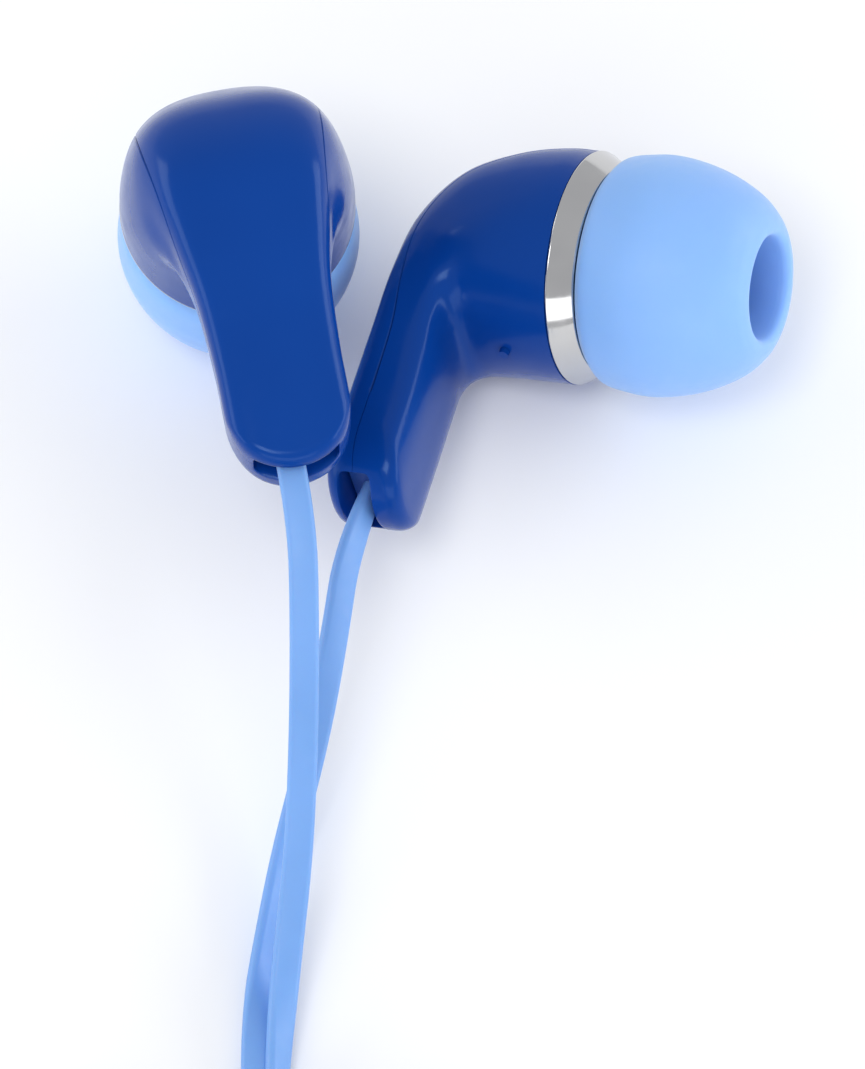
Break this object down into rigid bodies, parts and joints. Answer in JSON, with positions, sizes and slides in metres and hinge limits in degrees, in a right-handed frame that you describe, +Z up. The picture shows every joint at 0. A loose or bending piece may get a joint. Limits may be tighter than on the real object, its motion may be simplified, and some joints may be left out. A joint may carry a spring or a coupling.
{
  "type": "wired in-ear earphones",
  "caption": "In-ear earphones: elbow-shaped gloss shells with metal trim rings and soft ear tips, on flat cords that join at a splitter and end in a right-angle audio plug.",
  "frame": {"origin": "bottom centre of the box around the two ear buds, on the surface they lie on", "axes": "+X across the two buds towards the right bud's ear tip, -Y the way the cords run, +Z up"},
  "size_m": [0.0435, 0.1476, 0.0192],
  "materials": {
    "housing_blue": "high-gloss moulded plastic",
    "trim_chrome": "bright chrome plating",
    "tip_silicone": "satin silicone rubber",
    "cord_jacket": "satin elastomer jacket",
    "fitting_blue": "fine matte moulded plastic",
    "dark_plastic": "dark moulded plastic",
    "steel": "stamped steel",
    "magnet_nickel": "nickel-plated magnet",
    "copper": "enamelled copper wire",
    "clear_film": "thin polyester film",
    "circuit_board": "solder-masked board",
    "contact_metal": "gold-plated brass",
    "tie_band": "soft band"
  },
  "bodies": {
    "root": {"left_branch_coil": "cord_jacket", "left_branch_coil_tie": "tie_band", "left_branch_drop": "cord_jacket", "left_branch_tail": "cord_jacket", "left_cord_gland": "cord_jacket", "left_diaphragm": "clear_film", "left_driver_basket": "steel", "left_driver_grille": "steel", "left_front_shell": "housing_blue", "left_lead_wires": "copper", "left_magnet": "magnet_nickel", "left_nozzle": "dark_plastic", "left_nozzle_mesh": "steel", "left_pole_plate": "steel", "left_rear_cover": "housing_blue", "left_terminal_board": "circuit_board", "left_trim_ring": "trim_chrome", "left_voice_coil": "copper", "main_coil": "cord_jacket", "main_coil_tie": "tie_band", "main_end": "cord_jacket", "main_start": "cord_jacket", "plug_collar": "trim_chrome", "plug_grip": "fitting_blue", "plug_insulator": "dark_plastic", "plug_ring": "contact_metal", "plug_sleeve": "contact_metal", "plug_strain_relief": "cord_jacket", "plug_tip": "contact_metal", "right_branch_coil": "cord_jacket", "right_branch_coil_tie": "tie_band", "right_branch_drop": "cord_jacket", "right_branch_tail": "cord_jacket", "right_cord_gland": "cord_jacket", "right_diaphragm": "clear_film", "right_driver_basket": "steel", "right_driver_grille": "steel", "right_front_shell": "housing_blue", "right_lead_wires": "copper", "right_magnet": "magnet_nickel", "right_nozzle": "dark_plastic", "right_nozzle_mesh": "steel", "right_pole_plate": "steel", "right_rear_cover": "housing_blue", "right_terminal_board": "circuit_board", "right_trim_ring": "trim_chrome", "right_voice_coil": "copper", "splitter_bottom": "fitting_blue", "splitter_clamp": "dark_plastic", "splitter_top": "fitting_blue"},
    "left_ear_tip": {"left_ear_tip": "tip_silicone"},
    "right_ear_tip": {"right_ear_tip": "tip_silicone"}
  },
  "joints": [
    {"name": "left_tip_pull", "type": "slide", "parent": "root", "child": "left_ear_tip", "axis": [0, 0.1409, -0.99], "range_m": [0, 0.005]},
    {"name": "right_tip_pull", "type": "slide", "parent": "root", "child": "right_ear_tip", "axis": [0.9207, -0.2745, 0.2773], "range_m": [0, 0.005]}
  ]
}
